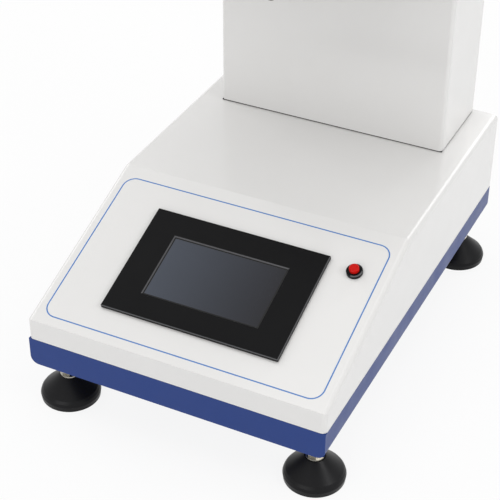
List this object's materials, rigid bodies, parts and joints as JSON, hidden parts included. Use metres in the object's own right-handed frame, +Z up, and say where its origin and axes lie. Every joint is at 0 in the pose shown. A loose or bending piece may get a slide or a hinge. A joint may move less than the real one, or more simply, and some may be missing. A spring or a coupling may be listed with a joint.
{
  "type": "melt flow index tester",
  "caption": "Bench melt flow tester: wedge console with touch screen and cut button, rear column, heated barrel, piston with weights, levelling feet.",
  "frame": {"origin": "centre of the footprint on the bench surface", "axes": "+Z up, +X to the operator's right, -Y towards the operator"},
  "size_m": [0.3996, 0.565, 0.8364],
  "materials": {
    "cover_paint": "semi-gloss white powder coat, light orange peel",
    "tray_paint": "semi-gloss blue powder coat",
    "zinc": "zinc plated steel",
    "rubber": "matte black rubber",
    "black_plastic": "satin black moulded plastic",
    "dark_plastic": "dark grey moulded plastic",
    "screen_glass": "dark touch glass",
    "display": "switched-off display",
    "red_plastic": "glossy red plastic",
    "spring_steel": "spring wire",
    "nickel": "bright nickel plate",
    "stainless": "brushed stainless steel",
    "tool_steel": "hardened and polished steel",
    "weight_steel": "turned steel with bright plate",
    "aluminium": "milled aluminium",
    "insulation": "pressed ceramic fibre",
    "brass": "bright brass",
    "board": "green circuit board with dark parts",
    "pad_plastic": "black moulded plastic with a soft sheen"
  },
  "bodies": {
    "frame": {"console_cover": "cover_paint", "base_tray": "tray_paint", "case_screws": "zinc", "hmi_gasket": "rubber", "hmi_bezel": "black_plastic", "hmi_glass": "screen_glass", "hmi_display": "display", "hmi_case": "dark_plastic", "hmi_clamps": "zinc", "button_collar": "black_plastic", "button_spring": "spring_steel", "button_nut": "nickel", "button_contacts": "dark_plastic", "foot_inserts": "zinc", "column_gasket": "rubber", "column_shell": "cover_paint", "column_rear_cover": "cover_paint", "column_spine": "zinc", "head_plate": "stainless", "head_housing": "cover_paint", "head_lid": "stainless", "barrel": "tool_steel", "heater_sleeve": "aluminium", "heater_bands": "stainless", "insulation": "insulation", "barrel_collar": "stainless", "temperature_probe": "stainless", "die": "tool_steel", "gate_rails": "stainless", "cutter_motor": "dark_plastic", "power_inlet": "black_plastic", "inlet_pins": "brass", "fuse_holder": "black_plastic", "switch_frame": "black_plastic", "fan_frame": "dark_plastic", "fan_guard": "nickel", "power_supply": "aluminium", "control_board": "board", "heater_relay": "dark_plastic"},
    "button": {"button_cap": "red_plastic"},
    "gate": {"die_gate": "stainless", "gate_knob": "black_plastic"},
    "cutter": {"cutter_shaft": "tool_steel", "cutter_blade": "stainless"},
    "piston": {"piston": "tool_steel", "weight_tray": "stainless"},
    "weight_1": {"weight_1": "weight_steel"},
    "weight_2": {"weight_2": "weight_steel"},
    "weight_3": {"weight_3": "weight_steel"},
    "fuse": {"fuse_carrier": "black_plastic"},
    "rocker": {"power_rocker": "black_plastic"},
    "fan": {"fan_rotor": "dark_plastic"},
    "pad_front_left": {"foot_pad_front_left": "pad_plastic"},
    "stud_front_left": {"foot_stud_front_left": "nickel"},
    "pad_front_right": {"foot_pad_front_right": "pad_plastic"},
    "stud_front_right": {"foot_stud_front_right": "nickel"},
    "pad_rear_left": {"foot_pad_rear_left": "pad_plastic"},
    "stud_rear_left": {"foot_stud_rear_left": "nickel"},
    "pad_rear_right": {"foot_pad_rear_right": "pad_plastic"},
    "stud_rear_right": {"foot_stud_rear_right": "nickel"}
  },
  "joints": [
    {"name": "foot_front_left_lift", "type": "slide", "parent": "frame", "child": "pad_front_left", "axis": [0, 0, 1], "range_m": [-0.004, 0.01]},
    {"name": "foot_front_left_turn", "type": "hinge", "parent": "pad_front_left", "child": "stud_front_left", "pos_m": [-0.163, -0.2445, 0.03], "axis": [0, 0, 1], "range_deg": [-961, 2401]},
    {"name": "foot_front_right_lift", "type": "slide", "parent": "frame", "child": "pad_front_right", "axis": [0, 0, 1], "range_m": [-0.004, 0.01]},
    {"name": "foot_front_right_turn", "type": "hinge", "parent": "pad_front_right", "child": "stud_front_right", "pos_m": [0.163, -0.2445, 0.03], "axis": [0, 0, 1], "range_deg": [-961, 2401]},
    {"name": "foot_rear_left_lift", "type": "slide", "parent": "frame", "child": "pad_rear_left", "axis": [0, 0, 1], "range_m": [-0.004, 0.01]},
    {"name": "foot_rear_left_turn", "type": "hinge", "parent": "pad_rear_left", "child": "stud_rear_left", "pos_m": [-0.163, 0.2445, 0.03], "axis": [0, 0, 1], "range_deg": [-961, 2401]},
    {"name": "foot_rear_right_lift", "type": "slide", "parent": "frame", "child": "pad_rear_right", "axis": [0, 0, 1], "range_m": [-0.004, 0.01]},
    {"name": "foot_rear_right_turn", "type": "hinge", "parent": "pad_rear_right", "child": "stud_rear_right", "pos_m": [0.163, 0.2445, 0.03], "axis": [0, 0, 1], "range_deg": [-961, 2401]},
    {"name": "button_press", "type": "slide", "parent": "frame", "child": "button", "axis": [0, 0.3309, -0.9437], "range_m": [0, 0.003], "stiffness_N_per_m": 500, "springref_m": -0.003, "deforming": ["button_spring"]},
    {"name": "gate_pull", "type": "slide", "parent": "frame", "child": "gate", "axis": [0, -1, 0], "range_m": [0, 0.024]},
    {"name": "cutter_turn", "type": "hinge", "parent": "frame", "child": "cutter", "pos_m": [0.064, 0.0776, 0.4717], "axis": [0, 0, 1], "continuous": true},
    {"name": "piston_travel", "type": "slide", "parent": "frame", "child": "piston", "axis": [0, 0, 1], "range_m": [0, 0.16]},
    {"name": "weight_1_lift", "type": "slide", "parent": "piston", "child": "weight_1", "axis": [0, 0, 1], "range_m": [0, 0.03]},
    {"name": "weight_2_lift", "type": "slide", "parent": "weight_1", "child": "weight_2", "axis": [0, 0, 1], "range_m": [0, 0.03]},
    {"name": "weight_3_lift", "type": "slide", "parent": "weight_2", "child": "weight_3", "axis": [0, 0, 1], "range_m": [0, 0.03]},
    {"name": "fuse_pull", "type": "slide", "parent": "frame", "child": "fuse", "axis": [0, 1, 0], "range_m": [0, 0.016]},
    {"name": "rocker_tilt", "type": "hinge", "parent": "frame", "child": "rocker", "pos_m": [-0.078, 0.2755, 0.133], "axis": [1, 0, 0], "range_deg": [0, 20]},
    {"name": "fan_spin", "type": "hinge", "parent": "frame", "child": "fan", "pos_m": [0.096, 0.2625, 0.16435], "axis": [0, 1, 0], "continuous": true}
  ],
  "couplings": [
    {"joint": "foot_front_left_turn", "follows": "foot_front_left_lift", "rad_per_m": 4188.8},
    {"joint": "foot_front_right_turn", "follows": "foot_front_right_lift", "rad_per_m": 4188.8},
    {"joint": "foot_rear_left_turn", "follows": "foot_rear_left_lift", "rad_per_m": 4188.8},
    {"joint": "foot_rear_right_turn", "follows": "foot_rear_right_lift", "rad_per_m": 4188.8}
  ]
}
